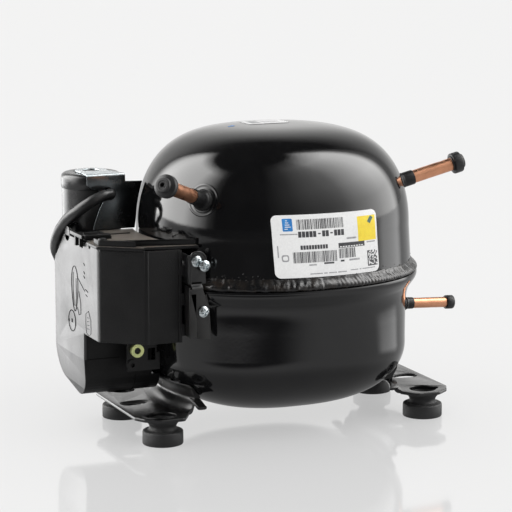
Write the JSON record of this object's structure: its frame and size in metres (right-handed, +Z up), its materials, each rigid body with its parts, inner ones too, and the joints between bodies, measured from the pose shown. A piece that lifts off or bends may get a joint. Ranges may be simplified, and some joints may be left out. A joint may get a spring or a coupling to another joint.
{
  "type": "hermetic reciprocating compressor",
  "caption": "Small hermetic reciprocating compressor: black welded shell on grommet feet, capped copper tubes, electrical box with capacitor, spring-hung motor and pump inside.",
  "frame": {"origin": "centre of the four mounting studs, at the plane the rubber feet stand on", "axes": "+Z up, +X along the longer stud spacing towards the suction and discharge tubes, -X towards the electrical box, -Y the side with the rating label"},
  "size_m": [0.2486, 0.1623, 0.18],
  "materials": {
    "shell_paint": "gloss",
    "bracket_paint": "satin",
    "foot_rubber": "matte",
    "label_film": "satin",
    "copper": "polished",
    "coppered_steel": "satin",
    "cap_rubber": "satin",
    "plated_steel": "satin",
    "sealing_glass": "gloss",
    "pin_metal": "satin",
    "box_plastic": "matte",
    "zinc_steel": "satin",
    "earth_passivated": "satin",
    "yellow_brass": "satin",
    "bearing_bronze": "satin",
    "relay_plastic": "satin",
    "phenolic": "satin",
    "capacitor_plastic": "satin",
    "sleeve_vinyl": "satin",
    "spring_steel": "satin",
    "seat_steel": "satin",
    "lamination_steel": "satin",
    "enamelled_wire": "gloss",
    "bolt_steel": "satin",
    "grey_iron": "satin",
    "ground_iron": "polished",
    "ground_steel": "polished",
    "gasket_fibre": "matte",
    "die_cast": "satin",
    "muffler_plastic": "satin"
  },
  "bodies": {
    "housing": {"lower_shell": "shell_paint", "upper_shell": "shell_paint", "weld_bead": "shell_paint", "left_bracket": "bracket_paint", "right_bracket": "bracket_paint", "rubber_feet": "foot_rubber", "rating_label": "label_film", "top_label": "label_film", "tube_stubs": "shell_paint", "process_tube": "copper", "suction_tube": "copper", "discharge_tube": "copper", "terminal_cup": "plated_steel", "terminal_glass": "sealing_glass", "terminal_pins": "pin_metal", "terminal_fence": "bracket_paint", "box_housing": "box_plastic", "box_cover": "box_plastic", "box_lid": "box_plastic", "lid_clip": "box_plastic", "box_strap": "bracket_paint", "strap_screws": "zinc_steel", "earth_plate": "bracket_paint", "earth_ring": "earth_passivated", "earth_screw": "yellow_brass", "start_relay": "relay_plastic", "overload_protector": "phenolic", "run_capacitor": "capacitor_plastic", "capacitor_cap": "capacitor_plastic", "capacitor_clip": "zinc_steel", "cable_sleeve": "sleeve_vinyl", "spring_seats": "seat_steel", "suspension_springs": "spring_steel", "discharge_loop": "coppered_steel"},
    "pump": {"stator_core": "lamination_steel", "stator_windings": "enamelled_wire", "stator_bolts": "bolt_steel", "crankcase": "grey_iron", "thrust_washer": "bearing_bronze", "valve_gasket": "gasket_fibre", "valve_plate": "plated_steel", "valve_stop": "plated_steel", "head_gasket": "gasket_fibre", "cylinder_head": "die_cast", "head_bolts": "bolt_steel", "suction_muffler": "muffler_plastic"},
    "crank": {"crankshaft": "ground_iron", "rotor_core": "lamination_steel", "rotor_cage": "die_cast", "oil_pickup": "plated_steel"},
    "slider": {"slider_block": "ground_iron"},
    "plug": {"metering_plug": "yellow_brass"},
    "piston_group": {"guide_tube": "ground_steel", "piston": "ground_iron"},
    "suction_valve": {"suction_reed": "spring_steel"},
    "discharge_valve": {"discharge_reed": "spring_steel"},
    "process_plug": {"process_cap": "cap_rubber"},
    "suction_plug": {"suction_cap": "cap_rubber"},
    "discharge_plug": {"discharge_cap": "cap_rubber"}
  },
  "joints": [
    {"name": "suspension_bounce", "type": "slide", "parent": "housing", "child": "pump", "axis": [0, 0, 1], "range_m": [-0.003, 0.002], "stiffness_N_per_m": 20000, "springref_m": 0.00219, "deforming": ["suspension_springs", "discharge_loop"]},
    {"name": "crankshaft_spin", "type": "hinge", "parent": "pump", "child": "crank", "pos_m": [-0.012, 0, 0.1], "axis": [0, 0, 1], "continuous": true},
    {"name": "slider_block_turn", "type": "hinge", "parent": "crank", "child": "slider", "pos_m": [-0.004, 0, 0.1405], "axis": [0, 0, 1], "continuous": true},
    {"name": "metering_plug_turn", "type": "hinge", "parent": "crank", "child": "plug", "pos_m": [-0.008, 0, 0.104], "axis": [0, 0, 1], "continuous": true},
    {"name": "piston_stroke", "type": "hinge", "parent": "plug", "child": "piston_group", "pos_m": [-0.004, 0, 0.1405], "axis": [0, 0, 1], "continuous": true},
    {"name": "suction_reed_lift", "type": "hinge", "parent": "pump", "child": "suction_valve", "pos_m": [0.04372, -0.004, 0.1335], "axis": [0, -1, 0], "range_deg": [0, 2.7], "stiffness_Nm_per_rad": 0.4},
    {"name": "discharge_reed_lift", "type": "hinge", "parent": "pump", "child": "discharge_valve", "pos_m": [0.04736, 0.0065, 0.1329], "axis": [0, 1, 0], "range_deg": [0, 4.5], "stiffness_Nm_per_rad": 0.4},
    {"name": "process_cap_pull", "type": "slide", "parent": "housing", "child": "process_plug", "axis": [-0.7019, -0.6498, 0.2919], "range_m": [0, 0.08]},
    {"name": "suction_cap_pull", "type": "slide", "parent": "housing", "child": "suction_plug", "axis": [0.9656, -0.06, 0.2531], "range_m": [0, 0.08]},
    {"name": "discharge_cap_pull", "type": "slide", "parent": "housing", "child": "discharge_plug", "axis": [0.9986, 0, -0.0529], "range_m": [0, 0.08]}
  ],
  "couplings": [
    {"joint": "slider_block_turn", "follows": "crankshaft_spin", "ratio": -1},
    {"joint": "metering_plug_turn", "follows": "crankshaft_spin", "ratio": -2},
    {"joint": "piston_stroke", "follows": "crankshaft_spin", "ratio": 1}
  ]
}
